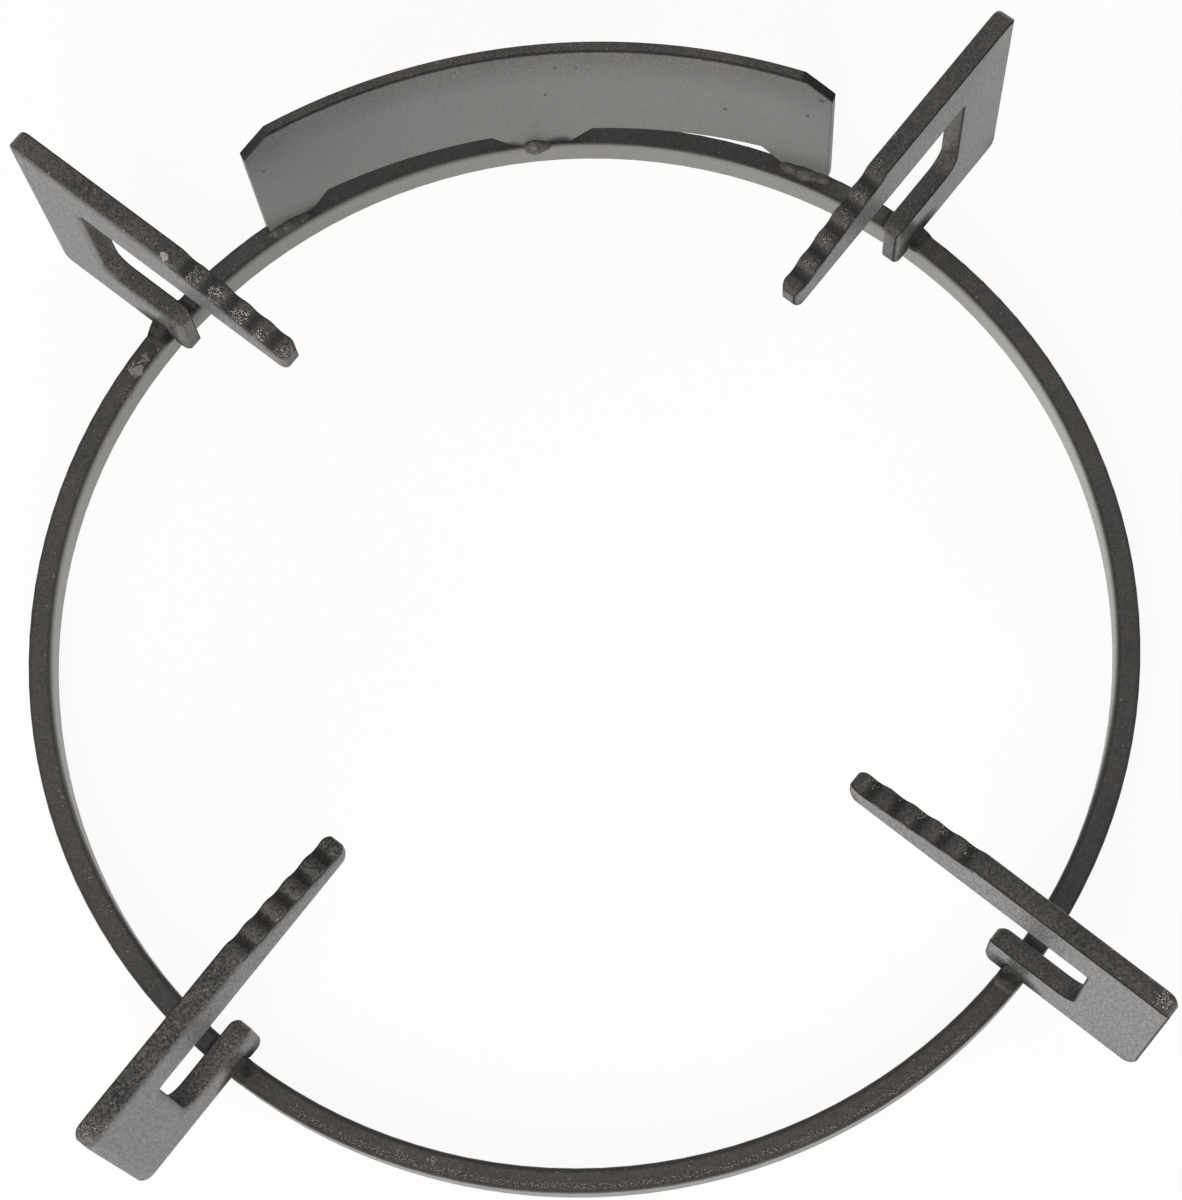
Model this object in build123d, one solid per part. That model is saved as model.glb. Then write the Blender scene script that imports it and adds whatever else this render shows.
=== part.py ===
from build123d import *
import os
from math import atan2, cos, degrees, radians, sin, tan

os.makedirs("parts", exist_ok=True)

# A wok ring for a gas hob: a hoop of rectangular bar that stands on the hob, four C-shaped
# plate fingers welded on top of it, and a curved heat shield welded on top at the back.
# Millimetres. Z is up, the origin is on the hob at the hoop's axis, and the shield is at +Y.

# Hoop
ring_radius = 102.5
bar_width = 4.5
bar_height = 6.5
inner_edge = 0.8
outer_edge = 0.4

# Fingers, seen from the side, with heights measured from the hoop's top
plate_thickness = 4.0
finger_height = 50.0
finger_overhang = 23.8
tip_inset = 40.5
upright_width = 14.5
arm_depth = 12.5
foot_height = 12.0
nose_width = 4.0
hook_depth = 1.5
hook_clearance = 0.1
finger_angles = {"back_right": 45.0, "back_left": 135.0, "front_left": 225.5, "front_right": 314.5}

# The pan's seat: from the knee the upper arm slopes down to its tip, with a wave along it
seat_slope = 13.5
first_crest = 0.4
wave_count = 5
wave_pitch = 4.95
wave_corner_drop = 1.5
wave_round = 2.0
tip_lip = 1.2

# Corners of a finger
bottom_corner = 3.0
top_corner = 3.0
knee_round = 3.0
tip_top_corner = 1.3
tip_bottom_corner = 2.2
slot_top_corner = 1.0
slot_bottom_corner = 3.5
nose_top_corner = 2.5
nose_bottom_corner = 1.2
rolled_edge = 0.5

# Heat shield: its lengths are measured along its inner face. It is bent wider than the hoop,
# so that its ends spring outwards from the hoop's own curve
shield_spring = 2.0
shield_thickness = 2.0
shield_inset = 1.7
shield_height = 37.5
shield_half_span = 56.0
shield_turn = -2.3
shield_twist = 0.7
corner_run = 5.8
corner_drop = 4.8
arch_height = 5.4
arch_ramp = 4.5
end_foot = 9.0
middle_foot = 10.6
shield_edge = 0.3

# Weld fillets at the fingers, hollow like a cove, and lapped a little over the hoop's sides
fillet_leg = 2.8
fillet_edge = 0.3
fillet_lap = 0.1
fillet_wrap = 1.0

# Tack welds at the shield's feet: half sizes along the hoop's radius, along its length and up
end_tack = (2.0, 3.0, 1.8)
middle_tack = (2.0, 2.3, 1.8)

ring_inner = ring_radius - bar_width
ring_middle = ring_radius - bar_width / 2
finger_reach = ring_radius + finger_overhang
tip_distance = ring_radius - tip_inset
slot_end = finger_reach - upright_width
arm_underside = finger_height - arm_depth
hook_back = ring_inner - hook_clearance
nose_distance = hook_back - nose_width
slope = radians(seat_slope)
seat_length = first_crest + wave_count * wave_pitch + tip_lip
knee_distance = tip_distance + seat_length * cos(slope)
tip_top = finger_height - seat_length * sin(slope)
shield_radius = 1 / (1 / ring_radius - 2 * shield_spring / shield_half_span**2)
shield_inner = shield_radius - shield_thickness
shield_middle = ring_radius - shield_inset
beyond = 10.0


def rounded_face(corners):
    """A face with the given corners, each a point and the radius of its round."""
    points = [point for point, radius in corners]
    radii = [radius for point, radius in corners]
    return make_face(FilletPolyline(*points, radius=radii, close=True))


# Hoop


def make_ring():
    corners = [
        ((ring_inner, 0), inner_edge),
        ((ring_radius, 0), outer_edge),
        ((ring_radius, bar_height), outer_edge),
        ((ring_inner, bar_height), inner_edge),
    ]
    return revolve(Plane.XZ * rounded_face(corners), Axis.Z)


# Fingers


def seat_point(down, above=0.0):
    """A point so far down the slope from the knee, and so far above the slope."""
    x = knee_distance - down * cos(slope) - above * sin(slope)
    y = finger_height - down * sin(slope) + above * cos(slope)
    return x, y


def wave_corners():
    """The corners of a zigzag whose rounding gives a wave with its crests on the slope."""
    half_pitch = wave_pitch / 2
    flank = atan2(wave_corner_drop, half_pitch)
    crest_cut = wave_round * (1 / cos(flank) - 1)
    lead = crest_cut / tan(flank)
    corners = [seat_point(first_crest + lead)]
    for i in range(wave_count):
        start = first_crest + i * wave_pitch
        corners.append(seat_point(start + half_pitch, crest_cut - wave_corner_drop))
        corners.append(seat_point(start + wave_pitch, crest_cut))
    corners[-1] = seat_point(first_crest + wave_count * wave_pitch - lead)
    return [(corner, wave_round) for corner in corners]


def finger_profile():
    corners = [
        ((finger_reach, 0), bottom_corner),
        ((finger_reach, finger_height), top_corner),
        ((knee_distance, finger_height), knee_round),
        *wave_corners(),
        ((tip_distance, tip_top), tip_top_corner),
        ((tip_distance, arm_underside), tip_bottom_corner),
        ((slot_end, arm_underside), slot_top_corner),
        ((slot_end, foot_height), slot_bottom_corner),
        ((nose_distance, foot_height), nose_top_corner),
        ((nose_distance, -hook_depth), nose_bottom_corner),
        ((hook_back, -hook_depth), 0),
        ((hook_back, 0), 0),
    ]
    return rounded_face(corners)


def make_finger():
    """One finger over the +X axis, with the rounded edges of its punched side at +Y."""
    plate = extrude(Plane.XZ * finger_profile(), plate_thickness / 2, both=True)
    punched_side = plate.faces().sort_by(Axis.Y)[-1]
    plate = fillet(punched_side.edges(), rolled_edge)
    return Pos(0, 0, bar_height) * plate


# Heat shield


def arc_degrees(length):
    """The angle that a length along the shield's inner face spans."""
    return degrees(length / shield_inner)


def place_on_hoop(shape):
    """Moves a shape made about the shield's own axis, with its middle over +X, to its place."""
    middle = Rot(0, 0, 90 + shield_turn) * Pos(shield_middle, 0, 0)
    return middle * Rot(0, 0, shield_twist) * Pos(-shield_radius, 0, 0) * shape


def shield_sector(radius_in, radius_out, bottom, top, start, end):
    """Part of an upright tube, between two lengths along the shield's inner face."""
    width = radius_out - radius_in
    section = Plane.XZ * Pos(radius_in + width / 2, (bottom + top) / 2) * Rectangle(width, top - bottom)
    sector = revolve(section, Axis.Z, revolution_arc=arc_degrees(end - start))
    return Rot(0, 0, arc_degrees(start)) * sector


def radial_prism(place, *points):
    """A prism through the shield, drawn on a plane that faces the axis at a place along it."""
    prism = extrude(Plane.YZ * make_face(Polyline(*points, close=True)), shield_radius + beyond)
    return Rot(0, 0, arc_degrees(place)) * prism


def make_arch():
    """The cut-out under the shield between its middle foot and the end foot at +Y."""
    start = middle_foot / 2 + arch_ramp
    end = shield_half_span - end_foot - arch_ramp
    top = bar_height + arch_height
    arch = shield_sector(shield_inner - beyond, shield_radius + beyond, -beyond, top, start, end)
    for place, side in ((start, -arch_ramp), (end, arch_ramp)):
        arch += radial_prism(place, (0, top), (side, bar_height), (side, -beyond), (0, -beyond))
    return arch


def make_shield():
    top = bar_height + shield_height
    shield = shield_sector(shield_inner, shield_radius, bar_height, top, -shield_half_span, shield_half_span)
    corner = [
        (beyond, top - corner_drop * (1 + beyond / corner_run)),
        (beyond, top + beyond),
        (-corner_run, top + beyond),
        (-corner_run, top),
    ]
    for cut in (radial_prism(shield_half_span, *corner), make_arch()):
        shield -= cut
        shield -= mirror(cut, Plane.XZ)
    return place_on_hoop(fillet(shield.edges(), shield_edge))


# Welds


def make_finger_weld(side, ring):
    """The weld in the corner between the hoop's top and one side of the finger over +X."""
    leg = (fillet_leg, fillet_edge)
    bow = fillet_leg * (1 - cos(radians(45)))
    outline = Polyline(leg, (fillet_leg, -fillet_wrap), (0, -fillet_wrap), (0, fillet_leg), leg[::-1])
    outline += ThreePointArc(leg[::-1], (bow, bow), leg)
    lap_width = bar_width + 2 * fillet_lap
    start = Plane(origin=(ring_middle - lap_width / 2, 0, bar_height), x_dir=(0, 1, 0), z_dir=(1, 0, 0))
    weld = Pos(0, plate_thickness / 2, 0) * extrude(start * make_face(outline), lap_width)
    if side < 0:
        weld = mirror(weld, Plane.XZ)
    return weld - ring


def make_tack(place, half_sizes, ring):
    """The tack in the corner between the hoop's top and the shield's inner face."""
    lump = Pos(shield_inner, 0, bar_height) * scale(Sphere(1), by=half_sizes)
    room = Cylinder(shield_inner, 4 * bar_height)
    return place_on_hoop(Rot(0, 0, arc_degrees(place)) * (lump & room)) - ring


def export(shape, name):
    export_step(shape, f"parts/{name}.step")


ring = make_ring()
export(ring, "support_ring")

finger = make_finger()
for corner_name, angle in finger_angles.items():
    turn = Rot(0, 0, angle)
    export(turn * finger, f"{corner_name}_finger")
    for side, side_name in ((1, "anticlockwise"), (-1, "clockwise")):
        export(turn * make_finger_weld(side, ring), f"{corner_name}_{side_name}_weld")

export(make_shield(), "heat_shield")
end_place = shield_half_span - end_foot / 2
export(make_tack(end_place, end_tack, ring), "shield_left_weld")
export(make_tack(0, middle_tack, ring), "shield_middle_weld")
export(make_tack(-end_place, end_tack, ring), "shield_right_weld")
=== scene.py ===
"""Looks of a wok ring for a gas hob: its dark heat-proof coating, its welds and the studio around it."""

import math

import bpy
import numpy as np
from bpy.props import FloatProperty, FloatVectorProperty, IntProperty, PointerProperty
from mathutils import Matrix, Vector
from mathutils.geometry import delaunay_2d_cdt


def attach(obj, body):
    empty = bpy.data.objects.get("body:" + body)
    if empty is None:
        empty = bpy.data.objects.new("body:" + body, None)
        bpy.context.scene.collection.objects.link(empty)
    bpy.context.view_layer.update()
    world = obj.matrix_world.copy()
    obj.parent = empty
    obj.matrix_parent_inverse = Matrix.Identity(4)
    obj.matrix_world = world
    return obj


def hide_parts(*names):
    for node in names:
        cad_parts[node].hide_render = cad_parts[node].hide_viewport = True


bl_info = {
    "name": "Wok Ring",
    "version": (1, 0, 0),
    "blender": (4, 5, 0),
    "location": "View3D > Sidebar > Wok Ring",
    "description": "Coats a wok ring, lays its welds and sets it in a plain studio",
    "category": "Object",
}

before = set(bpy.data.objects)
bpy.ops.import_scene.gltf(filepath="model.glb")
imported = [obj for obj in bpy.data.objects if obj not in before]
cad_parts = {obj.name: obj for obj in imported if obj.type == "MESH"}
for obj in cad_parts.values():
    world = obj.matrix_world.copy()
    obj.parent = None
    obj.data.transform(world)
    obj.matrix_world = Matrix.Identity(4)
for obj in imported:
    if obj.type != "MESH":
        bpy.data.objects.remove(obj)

MM = 0.001
HOOP_TOP = 6.5
HOOP_MIDDLE = 100.25
HOOP_WIDTH = 4.5
PLATE = 4.0
SHIELD_AXIS = (0.75, -17.15)
SHIELD_INNER = 115.92
SHIELD_OUTER = 117.92
SEAT_START = 87.6
SEAT_HEIGHT = 56.5
SEAT_SLOPE = 0.24

# Rows of points beside a finger's rolled edge, by their distance from it, and the angle of a sharp edge
EDGE_RINGS = (0.07, 0.22, 0.45)
SHARP_ANGLE = 32.0

# The camera and the lamp, in metres and degrees, and the lens in millimetres
CAMERA_PLACE = (0.009881, -0.165331, 0.552861)
CAMERA_TURN = (17.17432, 2.77276, -6.49588)
CAMERA_LENS = 92.955
LAMP_PLACE = (-0.55, -1.4, 0.55)
LAMP_WIDTH = 1.2

# Colours of the coating's painted glints, which are painted highlights, and of its pinholes
PAINTED_GLINT = (0.42, 0.40, 0.38, 1.0)
PINHOLE = (0.012, 0.011, 0.010, 1.0)

# The fingers' directions, and the way each side faces
TURNS = {"back_right": 45.0, "back_left": 135.0, "front_left": 225.5, "front_right": 314.5}
SIDES = {"anticlockwise": 1, "clockwise": -1}

# How high each finger's welds climb, against the highest
CLIMBS = {"back_right": 0.55, "back_left": 0.85, "front_left": 1.0, "front_right": 1.0}

# How coarse each finger's coating is
COARSE = {"back_right": 0.75, "back_left": 0.85, "front_left": 1.5, "front_right": 0.9}

# Worn places: x, y, z and radius in millimetres, and how much of the steel shows
FINGER_WEAR = {
    "back_left": [
        (-63.5, 62.2, 56.5, 2.0, 0.66),
        (-59.2, 58.5, 55.2, 3.0, 0.48),
        (-55.4, 55.2, 53.8, 3.0, 0.50),
        (-51.9, 50.7, 52.5, 3.0, 0.50),
        (-48.6, 47.3, 51.4, 2.8, 0.48),
        (-45.0, 44.2, 50.4, 2.6, 0.46),
        (-79.0, 79.5, 20.0, 3.0, 0.44),
    ],
    "back_right": [
        (62.1, 62.6, 56.5, 2.6, 0.41),
        (58.4, 58.4, 54.9, 2.8, 0.43),
        (55.4, 55.1, 53.9, 2.6, 0.42),
        (51.9, 51.7, 52.7, 2.8, 0.43),
        (48.3, 47.6, 51.4, 2.6, 0.41),
        (79.3, 79.6, 26.0, 2.4, 0.39),
    ],
    "front_left": [(-86.4, -88.0, 56.5, 4.0, 0.42), (-78.0, -79.5, 56.5, 6.0, 0.36)],
    "front_right": [
        (46.8, -46.0, 50.9, 2.0, 0.45),
        (50.2, -49.1, 52.0, 2.0, 0.44),
        (53.4, -52.8, 53.1, 2.0, 0.45),
        (56.5, -55.9, 54.2, 2.0, 0.44),
        (60.0, -59.7, 55.4, 2.0, 0.44),
        (80.8, -79.0, 56.5, 2.0, 0.52),
        (83.4, -81.6, 56.5, 2.2, 0.53),
        (85.6, -84.0, 56.5, 2.0, 0.52),
        (86.9, -88.2, 56.5, 2.8, 0.50),
    ],
}
HOOP_WEAR = [
    (-77.9, 62.6, 6.5, 2.4, 0.66),
    (-76.4, 64.6, 6.5, 1.8, 0.58),
    (-74.0, 65.6, 6.3, 1.4, 0.58),
    (-80.6, 57.6, 6.4, 3.0, 0.43),
    (-85.0, 51.0, 6.4, 4.0, 0.38),
    (76.6, 65.8, 6.5, 2.8, 0.41),
    (82.0, 59.0, 6.5, 4.0, 0.38),
    (-93.4, -34.6, 6.5, 3.0, 0.39),
    (-91.0, -40.5, 6.5, 3.2, 0.39),
    (-88.6, -45.6, 6.5, 3.0, 0.38),
    (-42.0, -91.0, 6.5, 2.2, 0.45),
    (-37.0, -92.8, 6.5, 1.6, 0.53),
    (-32.0, -95.2, 6.5, 2.4, 0.41),
    (-92.6, 41.0, 6.5, 4.0, 0.38),
    (-98.0, 24.0, 6.5, 5.0, 0.36),
]

# Pits on the shield's inner face, and painted shade in the crevices at its foot around the tacks: x, y, z and
# radius in millimetres, and how dark
SHIELD_PITS_AND_SHADE = [
    (-47.7, 88.3, 31.7, 0.60, 1.0),
    (8.2, 98.7, 37.9, 0.58, 1.0),
    (12.0, 98.4, 37.4, 0.52, 1.0),
    (5.7, 98.8, 27.3, 0.50, 1.0),
    (-13.3, 98.1, 37.7, 0.50, 1.0),
    (38.8, 92.5, 24.9, 0.58, 1.0),
    (53.5, 86.3, 30.5, 0.58, 1.0),
    (55.8, 85.1, 38.5, 0.80, 1.0),
    (7.2, 98.6, 6.9, 3.4, 1.0),
    (-2.4, 98.7, 6.9, 3.2, 1.0),
    (47.4, 88.8, 6.8, 2.0, 0.7),
    (-41.6, 90.4, 6.8, 2.0, 0.7),
]

# Painted shade on the fingers around their welds, where they meet the hoop: distance from the hoop's axis,
# height and radius
JOINT_SHADE = (100.5, 7.0, 7.5)

# Lumps of the tacks at the shield: x, y and half sizes across the hoop, along it and up, in millimetres
TACK_LUMPS = [
    (-46.8, 88.0, 1.6, 4.4, 1.2),
    (-48.9, 88.0, 1.7, 2.0, 1.4),
    (-46.0, 88.0, 1.8, 2.8, 1.7),
    (-43.6, 88.9, 1.3, 2.2, 1.1),
    (2.8, 98.7, 1.7, 3.0, 1.4),
    (2.4, 98.7, 2.0, 2.3, 2.1),
    (53.2, 85.6, 1.8, 5.0, 1.3),
    (50.5, 87.0, 1.6, 2.4, 1.5),
    (53.2, 85.6, 2.1, 2.8, 1.8),
    (56.3, 84.2, 1.6, 2.2, 1.3),
]


# Settings


def colour(name, description, default):
    return FloatVectorProperty(
        name=name, description=description, default=default, size=3, min=0.0, max=1.0, subtype="COLOR"
    )


def length(name, description, default):
    return FloatProperty(
        name=name, description=description, default=default, min=0.0, subtype="DISTANCE", unit="LENGTH"
    )


def share(name, description, default):
    return FloatProperty(
        name=name, description=description, default=default, min=0.0, max=1.0, subtype="FACTOR"
    )


class CoatingSettings(bpy.types.PropertyGroup):
    dark: colour("Dark", "The coating in its hollows", (0.017, 0.0155, 0.014))
    light: colour("Light", "The coating on its grains", (0.106, 0.097, 0.089))
    # The next four colours are one coating painted lighter on upright faces than on the tops: painted light
    # from low in front. The first is on faces that are also smoother.
    flat: colour("Flat", "The smoother coating on flat upright faces", (0.078, 0.075, 0.071))
    lit_wall: colour("Wall", "The coating on the hoop's inner and outer walls", (0.162, 0.156, 0.143))
    lit_side_wall: colour("Side wall", "The coating on the hoop's walls at its two sides", (0.345, 0.335, 0.31))
    sheet: colour("Sheet", "The coating on the heat shield's faces", (0.114, 0.110, 0.104))
    bare: colour("Bare steel", "Steel where the coating has chipped off", (0.34, 0.32, 0.305))
    scorched: colour("Scorched", "The hoop's coating where it has been overheated", (0.27, 0.235, 0.222))
    # This colour is also where painted shade goes: the dark parts of the hoop, the fingers, the shield and
    # the welds darken towards it.
    pit_and_shade: colour("Pit", "The bottom of a pit in the coating", (0.012, 0.011, 0.010))
    grain: length("Grain", "Width of the coating's grains", 0.00045)
    depth: length("Grain depth", "Height of the coating's grains", 0.00011)
    speck: length("Speck", "Width of a bare speck", 0.00027)
    roughness: share("Roughness", "Roughness of the coating", 0.34)


class FingerSettings(bpy.types.PropertyGroup):
    roll: length("Roll", "How far the punched side's soft edge reaches down the side", 0.0022)
    roll_depth: length("Roll depth", "How far the soft edge draws in", 0.0005)
    crisp: length("Crisp edge", "Width of the other side's edge", 0.0001)
    end: length("End", "How far from its ends a finger starts to be rounded", 0.0018)
    end_round: share("End round", "How much thinner a finger is at its very ends", 0.34)
    line: length("Dark line", "Width of the dark line along the crisp edge", 0.0004)
    step: length("Step", "Distance between points on the rolled edge", 0.0007)


class WeldSettings(bpy.types.PropertyGroup):
    leg: length("Leg", "How far a finger's weld runs along the hoop", 0.0032)
    rise: length("Rise", "How far a finger's weld climbs its side", 0.0052)
    toe: length("Toe", "Thickness of the weld's edge on the hoop", 0.00003)
    sink: length("Sink", "How far the weld wraps down the hoop's rounded edges", 0.0010)
    lap: length("Lap", "How far a weld hangs over each side of the hoop", 0.00005)
    ripple: length("Ripple", "How uneven a weld's surface is", 0.0006)
    ripple_size: length("Ripple size", "Width of a weld's ripples", 0.0019)
    seed: IntProperty(name="Seed", description="Which ripples the welds have", default=4, min=0)


class StageSettings(bpy.types.PropertyGroup):
    floor: colour("Floor", "Colour of the floor", (0.93, 0.93, 0.93))
    glow: share("Floor glow", "How much of the floor's white hides its shadows", 0.93)
    size: length("Floor size", "Width of the floor", 6.0)
    room_light: share("Room light", "Strength of the even light all round", 0.45)
    lamp_power: FloatProperty(
        name="Lamp", description="The soft lamp's power", default=32.0, min=0.0, subtype="POWER", unit="POWER"
    )


# Node helpers


def add(tree, kind, **values):
    """Adds a node and sets its fields."""
    node = tree.nodes.new(kind)
    for key, value in values.items():
        setattr(node, key, value)
    return node


def join(tree, value, socket):
    """Links an output to a socket, or sets the socket to a plain value."""
    if isinstance(value, bpy.types.NodeSocket):
        tree.links.new(value, socket)
    elif value is not None:
        socket.default_value = value


def feed(tree, node, **inputs):
    """Joins outputs or values to a node's inputs by name; a space in a name is written as _."""
    for key, value in inputs.items():
        join(tree, value, node.inputs[key.replace("_", " ")])
    return node


def maths(tree, operation, *values):
    """The result of one operation on numbers."""
    node = add(tree, "ShaderNodeMath", operation=operation)
    for value, socket in zip(values, node.inputs):
        join(tree, value, socket)
    return node.outputs[0]


def times(tree, *values):
    """The product of two numbers."""
    return maths(tree, "MULTIPLY", *values)


def greater(tree, *values):
    """The greater of two numbers."""
    return maths(tree, "MAXIMUM", *values)


def vectors(tree, operation, *values):
    """The result of one operation on vectors."""
    node = add(tree, "ShaderNodeVectorMath", operation=operation)
    for value, socket in zip(values, node.inputs):
        join(tree, value, socket)
    return node.outputs["Value" if operation in ("LENGTH", "DISTANCE") else "Vector"]


def ramp(tree, value, low, high, to_low=0.0, to_high=1.0):
    """A value between two limits, turned smoothly into a value between two others."""
    node = add(tree, "ShaderNodeMapRange", interpolation_type="SMOOTHSTEP")
    feed(tree, node, Value=value, From_Min=low, From_Max=high, To_Min=to_low, To_Max=to_high)
    return node.outputs["Result"]


def fade(tree, value, low, high, to_low=0.0, to_high=1.0):
    """A ramp whose two limits are in millimetres."""
    return ramp(tree, value, low * MM, high * MM, to_low, to_high)


def blend(tree, part, first, second):
    """The first colour, turned into the second by the part."""
    node = add(tree, "ShaderNodeMix", data_type="RGBA")
    for key, value in ((0, part), (6, first), (7, second)):
        join(tree, value, node.inputs[key])
    return node.outputs[2]


def noise(tree, vector, size, detail=2.0, roughness=0.5):
    """Soft noise of a given width."""
    node = add(tree, "ShaderNodeTexNoise")
    fineness = maths(tree, "DIVIDE", 1.0, size)
    feed(tree, node, Vector=vector, Scale=fineness, Detail=detail, Roughness=roughness)
    return node.outputs["Fac"]


def group_tree(name, inputs, outputs, kind="ShaderNodeTree"):
    """A new group, with the sockets that bring its inputs and take its outputs."""
    tree = bpy.data.node_groups.new(name, kind)
    for label, socket_kind, default in inputs:
        socket = tree.interface.new_socket(label, in_out="INPUT", socket_type=socket_kind)
        if default is not None:
            socket.default_value = default
    for label, socket_kind in outputs:
        tree.interface.new_socket(label, in_out="OUTPUT", socket_type=socket_kind)
    return tree, add(tree, "NodeGroupInput").outputs, add(tree, "NodeGroupOutput").inputs


# Finishes


def coating_grain():
    """Fine grains, pinholes, painted glints (highlights painted into the colour) and wide soft patches in a
    fired coating.
    """
    tree, given, made = group_tree(
        "Coating Grain",
        [
            ("Vector", "NodeSocketVector", None),
            ("Grain", "NodeSocketFloat", 0.0005),
            ("Dark", "NodeSocketColor", None),
            ("Light", "NodeSocketColor", None),
            ("Glint", "NodeSocketFloat", 0.04),
            ("Roughness", "NodeSocketFloat", 0.4),
        ],
        [("Color", "NodeSocketColor"), ("Roughness", "NodeSocketFloat"), ("Height", "NodeSocketFloat")],
    )
    fine = noise(tree, given["Vector"], given["Grain"], 3.0, 0.65)
    cells = add(tree, "ShaderNodeTexVoronoi")
    feed(tree, cells, Vector=given["Vector"], Scale=maths(tree, "DIVIDE", 0.9, given["Grain"]))
    patches = noise(tree, given["Vector"], 0.012, 2.0, 0.6)
    grains = ramp(tree, fine, 0.36, 0.66, 0.0, 0.8)
    part = maths(tree, "ADD", grains, ramp(tree, patches, 0.3, 0.7, -0.1, 0.2))
    shade = blend(tree, part, given["Dark"], given["Light"])
    lot = add(tree, "ShaderNodeSeparateColor")
    join(tree, cells.outputs["Color"], lot.inputs[0])
    chosen = maths(tree, "LESS_THAN", lot.outputs[0], given["Glint"])
    near = ramp(tree, cells.outputs["Distance"], 0.15, 0.4, 1.0, 0.0)
    # Painted highlights: a few grains turned bright as glints in the coating's colour, and raised a little.
    painted_glint = times(tree, chosen, near)
    hole = times(tree, maths(tree, "LESS_THAN", lot.outputs[1], given["Glint"]), near)
    shade = blend(tree, times(tree, painted_glint, 0.6), shade, PAINTED_GLINT)
    shade = blend(tree, times(tree, hole, 0.8), shade, PINHOLE)
    height = maths(tree, "ADD", fine, times(tree, maths(tree, "SUBTRACT", painted_glint, hole), 0.5))
    rough = maths(tree, "ADD", given["Roughness"], ramp(tree, fine, 0.3, 0.7, 0.05, -0.05))
    join(tree, shade, made["Color"])
    join(tree, rough, made["Roughness"])
    join(tree, height, made["Height"])


def worn_place():
    """How worn the coating is around one place."""
    tree, given, made = group_tree(
        "Worn Place",
        [
            ("Vector", "NodeSocketVector", None),
            ("Centre", "NodeSocketVector", None),
            ("Radius", "NodeSocketFloat", 0.001),
            ("Wear", "NodeSocketFloat", 0.5),
        ],
        [("Wear", "NodeSocketFloat")],
    )
    away = vectors(tree, "DISTANCE", given["Vector"], given["Centre"])
    near = ramp(tree, maths(tree, "DIVIDE", away, given["Radius"]), 0.35, 1.0, 1.0, 0.0)
    join(tree, times(tree, near, given["Wear"]), made["Wear"])


def bare_specks():
    """Ragged specks where the coating has gone, more of them the more it is worn."""
    tree, given, made = group_tree(
        "Bare Specks",
        [
            ("Vector", "NodeSocketVector", None),
            ("Speck", "NodeSocketFloat", 0.0003),
            ("Wear", "NodeSocketFloat", 0.0),
        ],
        [("Bare", "NodeSocketFloat"), ("Hollow", "NodeSocketFloat")],
    )
    specks = noise(tree, given["Vector"], given["Speck"], 2.0, 0.6)
    limit = maths(tree, "SUBTRACT", 1.0, given["Wear"])
    bare = ramp(tree, maths(tree, "SUBTRACT", specks, limit), -0.03, 0.06)
    hollows = maths(tree, "SUBTRACT", maths(tree, "SUBTRACT", 1.0, specks), limit)
    join(tree, bare, made["Bare"])
    join(tree, ramp(tree, hollows, -0.02, 0.05), made["Hollow"])


def ragged(tree, place, reach):
    """The place, shifted unevenly, so that what is drawn there has a ragged edge."""
    shift = add(tree, "ShaderNodeTexNoise")
    feed(tree, shift, Vector=place, Scale=1 / (1.6 * MM), Detail=3.0)
    centred = vectors(tree, "SUBTRACT", shift.outputs["Color"], (0.5, 0.5, 0.5))
    return vectors(tree, "MULTIPLY_ADD", centred, (reach, reach, reach), place)


def wear_of(tree, place, spots):
    """The greatest wear of several places, or none."""
    wear = None
    for x, y, z, radius, cover in spots:
        spot = add(tree, "ShaderNodeGroup", node_tree=bpy.data.node_groups["Worn Place"])
        feed(tree, spot, Vector=place, Centre=(x * MM, y * MM, z * MM), Radius=radius * MM, Wear=cover)
        wear = spot.outputs["Wear"] if wear is None else greater(tree, wear, spot.outputs["Wear"])
    return wear


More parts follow.
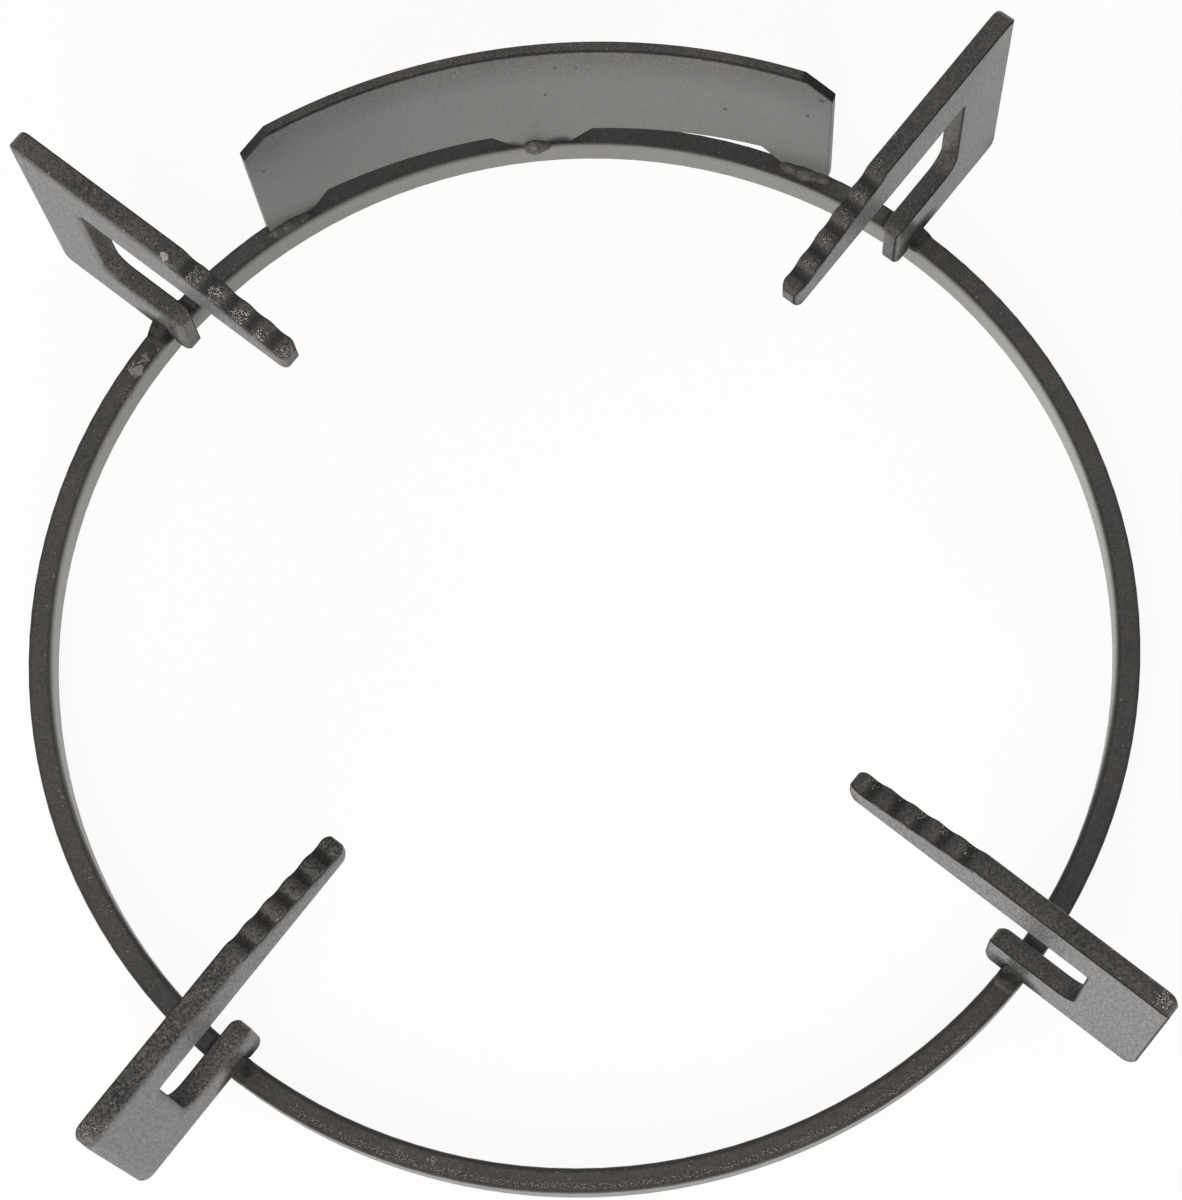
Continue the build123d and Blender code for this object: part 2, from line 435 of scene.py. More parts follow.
def coated_steel(
    name, settings, coarse, smooth_and_lit=None, shade=None, spots=(), pits_and_shade=(), band=None, bare=None, ior=1.36
):
    """A coated steel, with a grain as strong as coarse says.

    smooth, shade and band are functions that give its smoother faces, which are also painted lighter as
    painted light, its dark parts, painted shade among them, and its worn band. spots are its worn places,
    pits its dents and painted shade in crevices, and bare is the colour of what shows where it is worn.
    """
    material = bpy.data.materials.new(name)
    material.use_nodes = True
    tree = material.node_tree
    tree.nodes.clear()
    place = add(tree, "ShaderNodeTexCoord").outputs["Object"]
    middle = [(a + b) / 2 for a, b in zip(settings.dark, settings.light)]
    dark = [max(m + (c - m) * coarse, 0.006) for m, c in zip(middle, settings.dark)]
    light = [m + (c - m) * coarse for m, c in zip(middle, settings.light)]
    pit_and_shade = (*settings.pit_and_shade, 1.0)
    grain = add(tree, "ShaderNodeGroup", node_tree=bpy.data.node_groups["Coating Grain"])
    feed(
        tree,
        grain,
        Vector=place,
        Grain=settings.grain,
        Dark=(*dark, 1.0),
        Light=(*light, 1.0),
        Glint=0.035 * coarse,
        Roughness=settings.roughness,
    )
    tone, rough, height = (grain.outputs[key] for key in ("Color", "Roughness", "Height"))
    # Upright faces painted lighter as painted light from low in front, with softer bump.
    if smooth_and_lit is not None:
        mask, paint, contrast = smooth_and_lit(tree, place, settings)
        low = vectors(tree, "MULTIPLY", paint, (1 - contrast,) * 3)
        high = vectors(tree, "MULTIPLY", paint, (1 + contrast,) * 3)
        tall = vectors(tree, "MULTIPLY", place, (1.0, 1.0, 0.25))
        mottles = ramp(tree, noise(tree, tall, settings.grain, 3.0, 0.6), 0.35, 0.65)
        tone = blend(tree, times(tree, mask, 0.93), tone, blend(tree, mottles, low, high))
        height = times(tree, height, ramp(tree, mask, 0.0, 1.0, 1.0, contrast))
    # The dark parts, painted shade among them, go towards the darkest colour and are made rougher.
    if shade is not None:
        dim = shade(tree, place)
        tone = blend(tree, dim, tone, pit_and_shade)
        rough = maths(tree, "MULTIPLY_ADD", dim, 0.6, rough)
    shader = add(tree, "ShaderNodeBsdfPrincipled")
    wear = wear_of(tree, ragged(tree, place, 4.5 * MM), spots)
    if band is not None:
        wear = greater(tree, wear, band(tree, place))
    if wear is not None:
        specks = add(tree, "ShaderNodeGroup", node_tree=bpy.data.node_groups["Bare Specks"])
        feed(tree, specks, Vector=place, Speck=settings.speck, Wear=wear)
        chip, hollow = specks.outputs["Bare"], specks.outputs["Hollow"]
        tone = blend(tree, hollow, tone, pit_and_shade)
        tone = blend(tree, chip, tone, (*(bare or settings.bare), 1.0))
        height = maths(tree, "ADD", height, maths(tree, "SUBTRACT", chip, hollow))
        feed(tree, shader, Metallic=times(tree, chip, 0.4))
    # Dents in the coating, and painted shade in the crevices that the list gives.
    dents_and_shade = wear_of(tree, ragged(tree, place, 0.7 * MM), pits_and_shade)
    if dents_and_shade is not None:
        tone = blend(tree, dents_and_shade, tone, pit_and_shade)
        height = maths(tree, "SUBTRACT", height, dents_and_shade)
    bump = add(tree, "ShaderNodeBump")
    feed(tree, bump, Height=height, Distance=settings.depth * coarse, Strength=1.0)
    feed(tree, shader, Base_Color=tone, Roughness=rough, IOR=ior, Normal=bump.outputs["Normal"])
    output = add(tree, "ShaderNodeOutputMaterial")
    join(tree, shader.outputs["BSDF"], output.inputs["Surface"])
    return material


def away_from_axis(tree, place, x=0.0, y=0.0):
    """Distance from an upright axis."""
    aside = vectors(tree, "SUBTRACT", place, (x * MM, y * MM, 0.0))
    return vectors(tree, "LENGTH", vectors(tree, "MULTIPLY", aside, (1.0, 1.0, 0.0)))


def split(tree, place):
    """The three parts of a vector."""
    node = add(tree, "ShaderNodeSeparateXYZ")
    join(tree, place, node.inputs[0])
    return node.outputs


def hoop_walls(tree, place, settings):
    """The hoop's upright walls, painted lighter than its top as painted light from low in front: lightest at
    its sides and less so at the back and the front.
    """
    away, along = away_from_axis(tree, place), split(tree, place)["Y"]
    inner = times(tree, fade(tree, away, 98.15, 98.75, 1.0, 0.0), fade(tree, along, -60, -20, 0.2, 1.0))
    outer = fade(tree, away, 102.2, 102.45, 0.0, 0.3)
    side = times(tree, fade(tree, along, 80, 10), fade(tree, along, -50, -5))
    paint = blend(tree, side, (*settings.lit_wall, 1.0), (*settings.lit_side_wall, 1.0))
    return greater(tree, inner, outer), paint, 0.06


def hoop_shade(tree, place):
    """Darker along the hoop's upper edges, and painted shadow on its top behind the shield."""
    parts = split(tree, place)
    away = away_from_axis(tree, ragged(tree, place, 0.6 * MM))
    edges = greater(tree, fade(tree, away, 98.7, 99.2, 0.5, 0.0), fade(tree, away, 101.6, 102.3, 0.0, 0.5))
    edges = times(tree, edges, fade(tree, parts["Z"], 6.2, 6.4))
    # Painted shadow of the shield on the hoop's top behind it.
    behind = times(tree, fade(tree, parts["Y"], 84, 92, 0.0, 0.45), fade(tree, parts["Z"], 6.0, 6.4))
    return greater(tree, edges, behind)


def hoop_grit(tree, place):
    """How worn the hoop's top is in a band along its outer edge at the front."""
    uneven = ragged(tree, place, 1.5 * MM)
    away, along = away_from_axis(tree, uneven), split(tree, uneven)["Y"]
    band = times(tree, fade(tree, away, 99.9, 100.9), fade(tree, away, 101.6, 102.1, 1.0, 0.0))
    return times(tree, times(tree, band, fade(tree, along, -72, -82)), 0.435)


def finger_shade(tree, place):
    """Painted shade around the welds where the fingers meet the hoop, a dark line at the crisp edge and
    painted shade in the hollows of the pan's seat.
    """
    away, up = away_from_axis(tree, place), split(tree, place)["Z"]
    across, high, radius = JOINT_SHADE
    beside = maths(tree, "SUBTRACT", away, across * MM)
    above = maths(tree, "SUBTRACT", up, high * MM)
    near = maths(tree, "SQRT", maths(tree, "MULTIPLY_ADD", beside, beside, times(tree, above, above)))
    # Painted shade on the finger's foot, around its welds.
    joint_shade = fade(tree, near, 0.3 * radius, radius, 1.0, 0.0)
    # Painted shade in the hollows of the seat's waves, below the line of their crests.
    fall = times(tree, maths(tree, "SUBTRACT", SEAT_START * MM, away), SEAT_SLOPE)
    under = maths(tree, "SUBTRACT", maths(tree, "SUBTRACT", SEAT_HEIGHT * MM, fall), up)
    hollow = times(tree, fade(tree, under, 0.3, 0.85, 0.0, 0.75), fade(tree, under, 1.0, 1.6, 1.0, 0.0))
    seat = maths(tree, "LESS_THAN", away, SEAT_START * MM)
    line = add(tree, "ShaderNodeAttribute", attribute_name="line").outputs["Fac"]
    return greater(tree, joint_shade, greater(tree, times(tree, line, 0.9), times(tree, hollow, seat)))


def shield_faces(tree, place, settings):
    """The shield's two faces, painted lighter than its edges as painted light from low in front, shaded off
    towards the top with painted shade.
    """
    away = away_from_axis(tree, place, *SHIELD_AXIS)
    inner = fade(tree, away, SHIELD_INNER + 0.04, SHIELD_INNER + 0.2, 1.0, 0.0)
    outer = fade(tree, away, SHIELD_OUTER - 0.2, SHIELD_OUTER - 0.04)
    height = split(tree, place)["Z"]
    uneven = maths(tree, "MULTIPLY_ADD", noise(tree, place, 1.2 * MM, 3.0, 0.7), 0.9 * MM, height)
    rim = fade(tree, uneven, 43.2, 43.6, 1.0, 0.0)
    top = fade(tree, height, 30.0, 43.5, 1.0, 0.3)
    face = times(tree, greater(tree, inner, outer), rim)
    return times(tree, face, top), tuple(settings.sheet), 0.07


def shield_shade(tree, place):
    """Painted shade along the shield's top inner edge and its fillet, and on its cut-off corners."""
    parts = split(tree, ragged(tree, place, 0.5 * MM))
    away = away_from_axis(tree, place, *SHIELD_AXIS)
    # Painted shade over the top inner edge and its fillet, in place of the fillet's highlight.
    inner = fade(tree, away, SHIELD_INNER + 0.15, SHIELD_INNER + 0.3, 0.95, 0.0)
    line = times(tree, fade(tree, parts["Z"], 43.25, 43.45), inner)
    edge = fade(tree, away, SHIELD_INNER, SHIELD_INNER + 0.2)
    high = times(tree, edge, fade(tree, parts["Z"], 38.0, 39.0))
    # Painted shade on the cut-off corners, darker on the right one.
    right, left = fade(tree, parts["X"], 51.5, 53.0, 0.0, 0.9), fade(tree, parts["X"], -44.0, -46.0, 0.0, 0.6)
    return greater(tree, line, times(tree, high, greater(tree, right, left)))


def weld_shade(tree, place):
    """Welds are dark, and darker still with painted shade in their corners with the fingers."""
    height = split(tree, ragged(tree, place, 1.2 * MM))["Z"]
    uneven = ramp(tree, noise(tree, place, 2.5 * MM), 0.4, 0.7, -0.25, 0.2)
    return maths(tree, "ADD", fade(tree, height, 6.4, 7.4, 0.3, 0.85), uneven)


def tack_shade(tree, place):
    """The shield's end tacks are darker than the middle one."""
    aside = maths(tree, "ABSOLUTE", split(tree, place)["X"])
    return fade(tree, aside, 10, 30, 0.05, 0.4)


def finger_sides(tree, place, settings):
    """A finger's flat sides, painted lighter than its cut edge as painted light from low in front."""
    flat = add(tree, "ShaderNodeAttribute", attribute_name="flat").outputs["Fac"]
    return flat, tuple(settings.flat), 0.5


def dress(node, material):
    """Gives a carried-over node its finish."""
    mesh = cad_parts[node].data
    mesh.materials.clear()
    mesh.materials.append(material)


def settle(obj, *nodes, slot=None):
    """The object takes the place of its CAD nodes on the one body."""
    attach(obj, "root")
    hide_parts(*nodes)


# Shape of a finger


def side_outline(corner):
    """The outline of a finger's crisp side, in order, as distances from the hoop's axis and heights."""
    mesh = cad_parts[f"{corner}_finger"].data
    level = Matrix.Rotation(-math.radians(TURNS[corner]), 3, "Z")
    points = [level @ vertex.co for vertex in mesh.vertices]
    flat = -PLATE / 2 * MM + 1e-6
    follows, found = {}, {}
    for face in mesh.polygons:
        corners = [points[i] for i in face.vertices]
        if max(p.y for p in corners) < flat:
            keys = [(round(p.x / MM, 3), round(p.z / MM, 3)) for p in corners]
            found.update(((a, b), True) for a, b in zip(keys, keys[1:] + keys[:1]))
    for a, b in found:
        if (b, a) not in found:
            follows[a] = b
    start = min(follows)
    loop, key = [start], follows[start]
    while key != start:
        loop.append(key)
        key = follows[key]
    return np.array(loop) * MM


def refine(loop, step):
    """The same closed line, with points at most a step apart."""
    points = []
    for a, b in zip(loop, np.roll(loop, -1, axis=0)):
        count = max(1, math.ceil(np.linalg.norm(b - a) / step))
        points.extend(a + (b - a) * i / count for i in range(count))
    return np.array(points)


def signed_area(loop):
    """The area inside a closed line, below nought where it runs clockwise."""
    after = np.roll(loop, -1, axis=0)
    return 0.5 * np.sum(loop[:, 0] * after[:, 1] - loop[:, 1] * after[:, 0])


def drawn_in(loop, distance):
    """The closed anticlockwise line, moved inwards."""
    along = np.roll(loop, -1, axis=0) - np.roll(loop, 1, axis=0)
    along /= np.linalg.norm(along, axis=1)[:, None]
    return loop + distance * np.stack([-along[:, 1], along[:, 0]], axis=1)


def from_outline(points, loop):
    """Each point's distance from a closed line, below nought where it is outside."""
    a, b = loop, np.roll(loop, -1, axis=0)
    line = b - a
    gap = points[:, None, :] - a[None]
    along = np.clip((gap * line).sum(2) / (line * line).sum(1), 0.0, 1.0)
    away = np.linalg.norm(gap - along[:, :, None] * line, axis=2).min(1)
    px, py = points[:, 0, None], points[:, 1, None]
    crosses = (a[:, 1] > py) != (b[:, 1] > py)
    rise = np.where(line[:, 1] == 0.0, 1.0, line[:, 1])
    left = px < a[:, 0] + (py - a[:, 1]) * line[:, 0] / rise
    inside = (crosses & left).sum(1) % 2 == 1
    return np.where(inside, away, -away)


def filled(points, outline_count):
    """The points, and triangles of them that fill the outline that the first ones make."""
    result = delaunay_2d_cdt([Vector(p) for p in points], [], [list(range(outline_count))], 1, 1e-9)
    return result[0], result[2]


def rounded_ends(vertices, settings):
    """The plate's sides, drawn in towards its tip, its nose and its outer end."""
    points = np.array(vertices)
    x, upper = points[:, 0], points[:, 2] > 25 * MM
    for part in (upper, ~upper):
        for end, sign in ((x[part].min(), 1), (x[part].max(), -1)):
            near = np.clip(1 - sign * (x - end) / settings.end, 0, 1)
            points[part, 1] *= (1 - settings.end_round * near**2)[part]
    return points.tolist()


def finger_mesh(name, loop, settings):
    """A plate with a soft rolled edge on its +Y side and a crisp one on the other, over the X axis."""
    roll, depth, crisp, step = settings.roll, settings.roll_depth, settings.crisp, settings.step
    outline = refine(loop, step)
    if signed_area(outline) < 0:
        outline = outline[::-1]
    count = len(outline)
    (left, low), (right, high) = outline.min(axis=0), outline.max(axis=0)
    across, up = np.meshgrid(np.arange(left, right, step), np.arange(low, high, step))
    grid = np.stack([across, up], axis=-1).reshape(-1, 2)
    away = from_outline(grid, outline)
    coarse = (np.indices(across.shape) % 3 == 0).all(axis=0).reshape(-1)
    kept = (away > step * 0.9) & ((away < roll + step) | coarse)
    rings = [drawn_in(outline, distance * MM) for distance in EDGE_RINGS]
    sheet = np.concatenate([outline, *rings, grid[kept]])
    points, triangles = filled(sheet, count)
    spread = np.maximum(from_outline(np.array([tuple(p) for p in points]), outline), 0.0)
    spread[:count] = 0.0
    inward = np.clip((roll - spread) / roll, 0.0, 1.0)
    drop = depth * (1.0 - np.sqrt(1.0 - inward**2))
    half = PLATE / 2 * MM
    vertices = [(p[0], half - d, p[1]) for p, d in zip(points, drop)]
    flat = list(np.clip(spread / (roll * 0.75), 0.0, 1.0))
    faces = [tuple(reversed(face)) for face in triangles]
    rim = [list(range(count))]
    inset = drawn_in(outline, crisp + settings.line)
    line = [0.0] * len(vertices)
    bands = (
        (settings.line - half, outline, 0.0, 0.0),
        (crisp - half, outline, 0.0, 1.0),
        (-half, drawn_in(outline, crisp), 0.0, 1.0),
        (-half, inset, 1.0, 0.0),
    )
    for level, row, flatness, darkness in bands:
        rim.append(list(range(len(vertices), len(vertices) + count)))
        vertices.extend((x, level, z) for x, z in row)
        flat.extend([flatness] * count)
        line.extend([darkness] * count)
    for upper, lower in zip(rim, rim[1:]):
        for i in range(count):
            j = (i + 1) % count
            faces.append((upper[i], upper[j], lower[j], lower[i]))
    back_triangles = filled(inset, count)[1]
    start = rim[-1][0]
    faces.extend(tuple(start + i for i in face) for face in back_triangles)
    mesh = bpy.data.meshes.new(name)
    mesh.from_pydata(rounded_ends(vertices, settings), [], faces)
    for key, values in (("flat", flat), ("line", line)):
        mesh.attributes.new(key, "FLOAT", "POINT").data.foreach_set("value", values)
    mesh.validate()
    mesh.polygons.foreach_set("use_smooth", [True] * len(mesh.polygons))
    mesh.set_sharp_from_angle(angle=math.radians(SHARP_ANGLE))
    return mesh


# Shape of the welds


def node_tree(name, inputs):
    """A geometry tree with its named inputs."""
    shape = "NodeSocketGeometry"
    return group_tree(name, [("Geometry", shape, None), *inputs], [("Geometry", shape)], "GeometryNodeTree")


def stored(tree, geometry, name, value):
    """The geometry, with a value kept at each of its points."""
    node = add(tree, "GeometryNodeStoreNamedAttribute", data_type="FLOAT", domain="POINT")
    feed(tree, node, Geometry=geometry, Name=name, Value=value)
    return node.outputs["Geometry"]


def named(tree, name, kind="FLOAT"):
    """A value that was kept at each point."""
    node = add(tree, "GeometryNodeInputNamedAttribute", data_type=kind)
    node.inputs["Name"].default_value = name
    return node.outputs["Attribute"]


def moved(tree, geometry, position=None, offset=None):
    """The geometry, with its points set to a position or shifted."""
    node = add(tree, "GeometryNodeSetPosition")
    feed(tree, node, Geometry=geometry, Position=position, Offset=offset)
    return node.outputs["Geometry"]


def combined(tree, x, y, z):
    """A vector of three numbers."""
    node = add(tree, "ShaderNodeCombineXYZ")
    feed(tree, node, X=x, Y=y, Z=z)
    return node.outputs["Vector"]


def place_all(tree, points, shape, given):
    """Sets the shape at every point, joins the copies and makes their free surfaces uneven."""
    turn = add(tree, "FunctionNodeAxisAngleToRotation")
    feed(tree, turn, Axis=(0.0, 0.0, 1.0), Angle=named(tree, "turn"))
    stretch = named(tree, "stretch", "FLOAT_VECTOR")
    copies = add(tree, "GeometryNodeInstanceOnPoints")
    feed(tree, copies, Points=points, Instance=shape, Rotation=turn.outputs[0], Scale=stretch)
    whole = add(tree, "GeometryNodeRealizeInstances")
    feed(tree, whole, Geometry=copies.outputs["Instances"])
    here = add(tree, "GeometryNodeInputPosition").outputs[0]
    shifted = vectors(tree, "ADD", here, combined(tree, given["Seed"], 0.0, 0.0))
    waves = maths(tree, "SUBTRACT", noise(tree, shifted, given["Ripple Size"], 2.0, 0.5), 0.5)
    lift = times(tree, times(tree, waves, given["Ripple"]), named(tree, "free"))
    out = add(tree, "GeometryNodeInputNormal").outputs[0]
    away = add(tree, "ShaderNodeVectorMath", operation="SCALE")
    join(tree, out, away.inputs[0])
    join(tree, lift, away.inputs["Scale"])
    uneven = moved(tree, whole.outputs["Geometry"], offset=away.outputs["Vector"])
    soft = add(tree, "GeometryNodeSetShadeSmooth")
    feed(tree, soft, Geometry=uneven)
    paint = add(tree, "GeometryNodeSetMaterial")
    feed(tree, paint, Geometry=soft.outputs["Geometry"], Material=given["Coating"])
    return paint.outputs["Geometry"]


UNEVEN_INPUTS = [
    ("Ripple", "NodeSocketFloat", 0.0005),
    ("Ripple Size", "NodeSocketFloat", 0.0016),
    ("Seed", "NodeSocketFloat", 0.0),
    ("Coating", "NodeSocketMaterial", None),
]


def cove_tree():
    """Hollow weld fillets: across the hoop in X, away from the finger's side in Y.

    Each starts as a block. It is thinned along its run to a hollow slope, and narrowed towards its toe and
    its top. Its ripples leave out its back, its foot and its toe.
    """
    tree, given, made = node_tree(
        "Finger Welds",
        [
            ("Leg", "NodeSocketFloat", 0.003),
            ("Rise", "NodeSocketFloat", 0.005),
            ("Toe", "NodeSocketFloat", 0.0003),
            ("Sink", "NodeSocketFloat", 0.001),
            ("Width", "NodeSocketFloat", 0.0048),
            *UNEVEN_INPUTS,
        ],
    )
    block = add(tree, "GeometryNodeMeshCube")
    feed(tree, block, Size=(1.0, 1.0, 1.0), Vertices_X=30, Vertices_Y=24, Vertices_Z=20)
    x, y, z = split(tree, add(tree, "GeometryNodeInputPosition").outputs[0])
    run = maths(tree, "POWER", maths(tree, "ADD", y, 0.5), 1.3)
    hollow = maths(tree, "POWER", maths(tree, "SUBTRACT", 1.0, run), 1.5)
    climb = maths(tree, "SUBTRACT", given["Rise"], given["Toe"])
    rise = maths(tree, "MULTIPLY_ADD", climb, hollow, given["Toe"])
    depth = times(tree, maths(tree, "ADD", z, 0.5), maths(tree, "ADD", rise, given["Sink"]))
    height = maths(tree, "SUBTRACT", depth, given["Sink"])
    over = greater(tree, maths(tree, "DIVIDE", height, given["Rise"]), 0.0)
    narrow = maths(tree, "MULTIPLY_ADD", maths(tree, "POWER", run, 3.0), -0.3, 1.0)
    width = times(tree, times(tree, given["Width"], narrow), maths(tree, "MULTIPLY_ADD", over, -0.3, 1.0))
    bend = times(tree, run, given["Leg"])
    inner = maths(tree, "LESS_THAN", maths(tree, "ABSOLUTE", x), 0.48)
    front = times(tree, maths(tree, "GREATER_THAN", y, -0.48), ramp(tree, run, 0.5, 0.95, 1.0, 0.0))
    free = times(tree, times(tree, inner, front), maths(tree, "GREATER_THAN", z, -0.2))
    shape = stored(tree, block.outputs["Mesh"], "free", free)
    shape = moved(tree, shape, combined(tree, times(tree, x, width), bend, height))
    join(tree, place_all(tree, given["Geometry"], shape, given), made["Geometry"])
    return tree


def lump_tree():
    """Tack welds: lumps with a flat back against the shield, which is on their +X side."""
    tree, given, made = node_tree("Shield Tacks", UNEVEN_INPUTS)
    ball = add(tree, "GeometryNodeMeshIcoSphere")
    feed(tree, ball, Radius=1.0, Subdivisions=5)
    x, y, z = split(tree, add(tree, "GeometryNodeInputPosition").outputs[0])
    shape = stored(tree, ball.outputs["Mesh"], "free", maths(tree, "LESS_THAN", x, 0.0))
    shape = moved(tree, shape, combined(tree, maths(tree, "MINIMUM", x, 0.08), y, z))
    join(tree, place_all(tree, given["Geometry"], shape, given), made["Geometry"])
    return tree


def weld_points(name, rows):
    """Loose points with the turn and the stretch of the weld at each."""
    mesh = bpy.data.meshes.new(name)
    places, turns, stretches = zip(*rows)
    mesh.from_pydata(places, [], [])
    mesh.attributes.new("turn", "FLOAT", "POINT").data.foreach_set("value", turns)
    mesh.attributes.new("stretch", "FLOAT_VECTOR", "POINT").data.foreach_set("vector", np.ravel(stretches))
    return mesh


def grown(context, name, mesh, tree, values):
    """The plain mesh that a geometry tree makes from the points, as a new object."""
    points = bpy.data.objects.new(f"{name}_points", mesh)
    context.collection.objects.link(points)
    modifier = points.modifiers.new(name, "NODES")
    modifier.node_group = tree
    for item in tree.interface.items_tree:
        if item.in_out == "INPUT" and item.name in values:
            modifier[item.identifier] = values[item.name]
    ready = points.evaluated_get(context.evaluated_depsgraph_get())
    whole = bpy.data.meshes.new_from_object(ready)
    points.modifiers.remove(modifier)
    bpy.data.objects.remove(points)
    for attribute in ("free", "turn", "stretch"):
        if attribute in whole.attributes:
            whole.attributes.remove(whole.attributes[attribute])
    obj = bpy.data.objects.new(name, whole)
    context.collection.objects.link(obj)
    if not whole.polygons:
        raise RuntimeError(f"{name} has no faces")
    return obj


# Operators


class MixCoatings(bpy.types.Operator):
    """Builds the shader groups that every coated piece uses"""

    bl_idname = "wok_ring.mix_coatings"
    bl_label = "Mix Coatings"

    def execute(self, context):
        coating_grain()
        worn_place()
        bare_specks()
        return {"FINISHED"}


class CoatHoop(bpy.types.Operator):
    """Coats the hoop that stands on the hob"""

    bl_idname = "wok_ring.coat_hoop"
    bl_label = "Coat Hoop"

    def execute(self, context):
        coating = context.scene.wok_coating
        looks = {"spots": HOOP_WEAR, "band": hoop_grit, "bare": coating.scorched}
        dress("support_ring", coated_steel("hoop_coating", coating, 0.45, hoop_walls, hoop_shade, **looks))
        return {"FINISHED"}


class CutFingers(bpy.types.Operator):
    """Cuts and coats the four plate fingers, each with one soft and one crisp edge"""

    bl_idname = "wok_ring.cut_fingers"
    bl_label = "Cut Fingers"

    def execute(self, context):
        coating, shape = context.scene.wok_coating, context.scene.wok_finger
        mesh = finger_mesh("finger", side_outline("back_right"), shape)
        for corner, turn in TURNS.items():
            plate = mesh.copy()
            plate.transform(Matrix.Rotation(math.radians(turn), 4, "Z"))
            coarse, worn = COARSE[corner], FINGER_WEAR[corner]
            finish = coated_steel(f"{corner}_coating", coating, coarse, finger_sides, finger_shade, worn)
            plate.materials.append(finish)
            obj = bpy.data.objects.new(f"{corner}_plate", plate)
            context.collection.objects.link(obj)
            settle(obj, f"{corner}_finger", slot="finger_coating")
        return {"FINISHED"}


class CoatShield(bpy.types.Operator):
    """Coats the heat shield"""

    bl_idname = "wok_ring.coat_shield"
    bl_label = "Coat Shield"

    def execute(self, context):
        coating = context.scene.wok_coating
        finish = coated_steel("shield_coating", coating, 0.7, shield_faces, shield_shade, pits_and_shade=SHIELD_PITS_AND_SHADE)
        dress("heat_shield", finish)
        return {"FINISHED"}


class LayWelds(bpy.types.Operator):
    """Lays the hollow fillets at the fingers and the tacks at the shield"""

    bl_idname = "wok_ring.lay_welds"
    bl_label = "Lay Welds"

    def execute(self, context):
        weld, coating = context.scene.wok_weld, context.scene.wok_coating
        dark = coated_steel("weld", coating, 0.4, shade=weld_shade, ior=1.2)
        light = coated_steel("tack", coating, 0.4, shade=tack_shade)
        uneven = {"Ripple": weld.ripple, "Ripple Size": weld.ripple_size, "Seed": weld.seed * 0.01}
        sizes = {"Leg": weld.leg, "Rise": weld.rise, "Toe": weld.toe, "Sink": weld.sink}
        width = HOOP_WIDTH * MM + 2 * weld.lap
        coves = [self.cove(corner, side) for corner in TURNS for side in SIDES.values()]
        values = {**uneven, **sizes, "Width": width, "Coating": dark}
        finger_welds = grown(context, "finger_welds", weld_points("cove_points", coves), cove_tree(), values)
        settle(finger_welds, *(f"{corner}_{side}_weld" for corner in TURNS for side in SIDES), slot="weld")
        lumps = weld_points("tack_points", [self.tack(*row) for row in TACK_LUMPS])
        tacks = grown(context, "shield_tacks", lumps, lump_tree(), {**uneven, "Coating": light})
        settle(tacks, *(f"shield_{place}_weld" for place in ("left", "middle", "right")), slot="weld")
        return {"FINISHED"}

    def cove(self, corner, side):
        """Place, turn and stretch of the fillet at one side of a finger."""
        angle = math.radians(TURNS[corner])
        out = Vector((math.cos(angle), math.sin(angle), 0.0))
        along = Vector((-math.sin(angle), math.cos(angle), 0.0))
        place = (out * HOOP_MIDDLE + along * side * PLATE / 2 + Vector((0.0, 0.0, HOOP_TOP))) * MM
        return place, angle + (0.0 if side > 0 else math.pi), (1.0, 1.0, CLIMBS[corner])

    def tack(self, x, y, across, along, up):
        """Place, turn and stretch of one lump at the shield's foot."""
        axis = Vector(SHIELD_AXIS)
        away = Vector((x, y)) - axis
        on_face = axis + away.normalized() * SHIELD_INNER
        place = (on_face.x * MM, on_face.y * MM, HOOP_TOP * MM)
        return place, math.atan2(away.y, away.x), (across * MM, along * MM, up * MM)


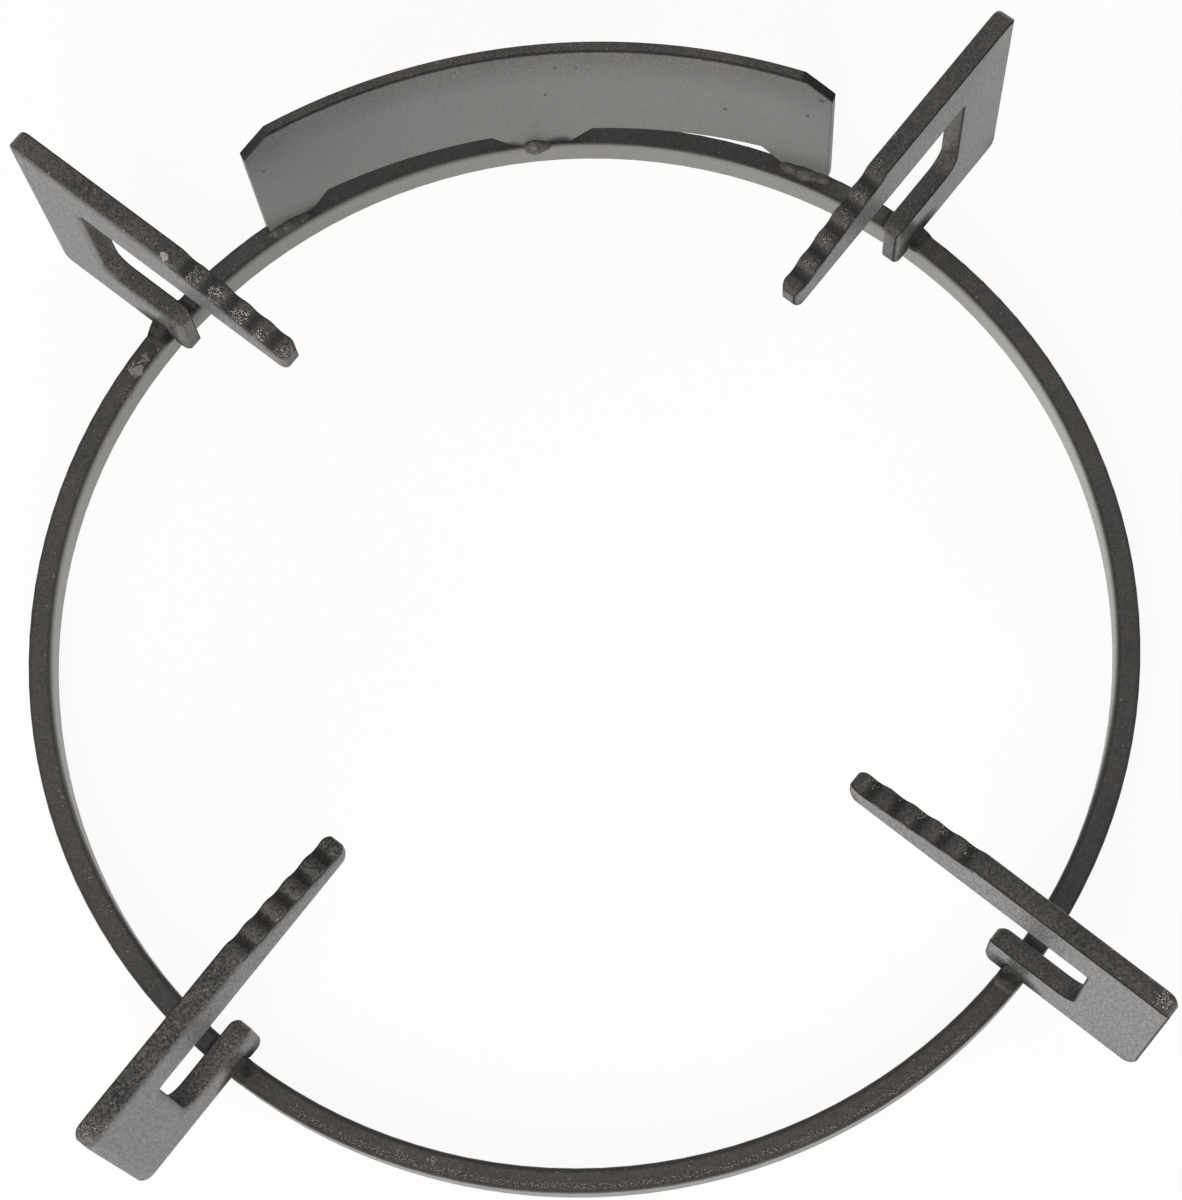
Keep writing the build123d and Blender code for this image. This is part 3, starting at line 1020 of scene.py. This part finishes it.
class SetStage(bpy.types.Operator):
    """Sets the floor, the light and the camera"""

    bl_idname = "wok_ring.set_stage"
    bl_label = "Set Stage"

    def execute(self, context):
        stage = context.scene.wok_stage
        half = stage.size / 2
        mesh = bpy.data.meshes.new("floor")
        corners = [(-half, -half, 0), (half, -half, 0), (half, half, 0), (-half, half, 0)]
        mesh.from_pydata(corners, [], [(0, 1, 2, 3)])
        floor = bpy.data.objects.new("floor", mesh)
        context.collection.objects.link(floor)
        mesh.materials.append(self.floor_paint(stage))
        self.light_room(context, stage)
        self.place_camera(context)
        return {"FINISHED"}

    def floor_paint(self, stage):
        """White paper that still keeps some of the shadows."""
        material = bpy.data.materials.new("white_paper")
        material.use_nodes = True
        tree = material.node_tree
        tree.nodes.clear()
        paper = add(tree, "ShaderNodeBsdfDiffuse")
        feed(tree, paper, Color=(*stage.floor, 1.0))
        glow = add(tree, "ShaderNodeEmission")
        path = add(tree, "ShaderNodeLightPath").outputs
        seen = maths(tree, "MAXIMUM", path["Is Camera Ray"], path["Is Glossy Ray"])
        mix = add(tree, "ShaderNodeMixShader")
        join(tree, maths(tree, "MULTIPLY", seen, stage.glow), mix.inputs[0])
        join(tree, paper.outputs[0], mix.inputs[1])
        join(tree, glow.outputs[0], mix.inputs[2])
        output = add(tree, "ShaderNodeOutputMaterial")
        join(tree, mix.outputs[0], output.inputs["Surface"])
        return material

    def light_room(self, context, stage):
        world = bpy.data.worlds.new("studio")
        world.use_nodes = True
        tree = world.node_tree
        tree.nodes.clear()
        path = add(tree, "ShaderNodeLightPath").outputs
        seen = maths(tree, "MAXIMUM", path["Is Camera Ray"], path["Is Glossy Ray"])
        background = add(tree, "ShaderNodeBackground")
        feed(tree, background, Color=(1.0, 1.0, 1.0, 1.0))
        strength = maths(tree, "MULTIPLY_ADD", seen, 1.0 - stage.room_light, stage.room_light)
        join(tree, strength, background.inputs["Strength"])
        output = add(tree, "ShaderNodeOutputWorld")
        join(tree, background.outputs[0], output.inputs["Surface"])
        context.scene.world = world
        lamp = bpy.data.lights.new("soft_lamp", "AREA")
        lamp.shape = "DISK"
        lamp.size = LAMP_WIDTH
        lamp.energy = stage.lamp_power
        holder = bpy.data.objects.new("soft_lamp", lamp)
        holder.location = LAMP_PLACE
        holder.rotation_euler = (-holder.location).to_track_quat("-Z", "Y").to_euler()
        context.collection.objects.link(holder)

    def place_camera(self, context):
        lens = bpy.data.cameras.new("camera")
        lens.lens = CAMERA_LENS
        lens.sensor_width = 36.0
        camera = bpy.data.objects.new("camera", lens)
        camera.location = CAMERA_PLACE
        camera.rotation_euler = [math.radians(angle) for angle in CAMERA_TURN]
        context.collection.objects.link(camera)
        context.scene.camera = camera
        context.scene.view_settings.view_transform = "Standard"


class WokRingPanel(bpy.types.Panel):
    """Lists the settings and steps of the wok ring"""

    bl_idname = "VIEW3D_PT_wok_ring"
    bl_label = "Wok Ring"
    bl_space_type = "VIEW_3D"
    bl_region_type = "UI"
    bl_category = "Wok Ring"

    def draw(self, context):
        for name in SETTINGS:
            settings = getattr(context.scene, name)
            box = self.layout.box()
            for key in settings.__annotations__:
                box.prop(settings, key)
        for step in STEPS:
            self.layout.operator(step.bl_idname)


STEPS = (MixCoatings, CoatHoop, CutFingers, CoatShield, LayWelds, SetStage)
SETTINGS = {
    "wok_coating": CoatingSettings,
    "wok_finger": FingerSettings,
    "wok_weld": WeldSettings,
    "wok_stage": StageSettings,
}


def register():
    for group in (*SETTINGS.values(), *STEPS, WokRingPanel):
        bpy.utils.register_class(group)
    for name, group in SETTINGS.items():
        setattr(bpy.types.Scene, name, PointerProperty(type=group))


def unregister():
    for name in SETTINGS:
        delattr(bpy.types.Scene, name)
    for group in (WokRingPanel, *reversed(STEPS), *SETTINGS.values()):
        bpy.utils.unregister_class(group)


def main():
    register()
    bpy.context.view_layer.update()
    for step in STEPS:
        family, name = step.bl_idname.split(".")
        getattr(getattr(bpy.ops, family), name)()


if __name__ == "__main__":
    main()
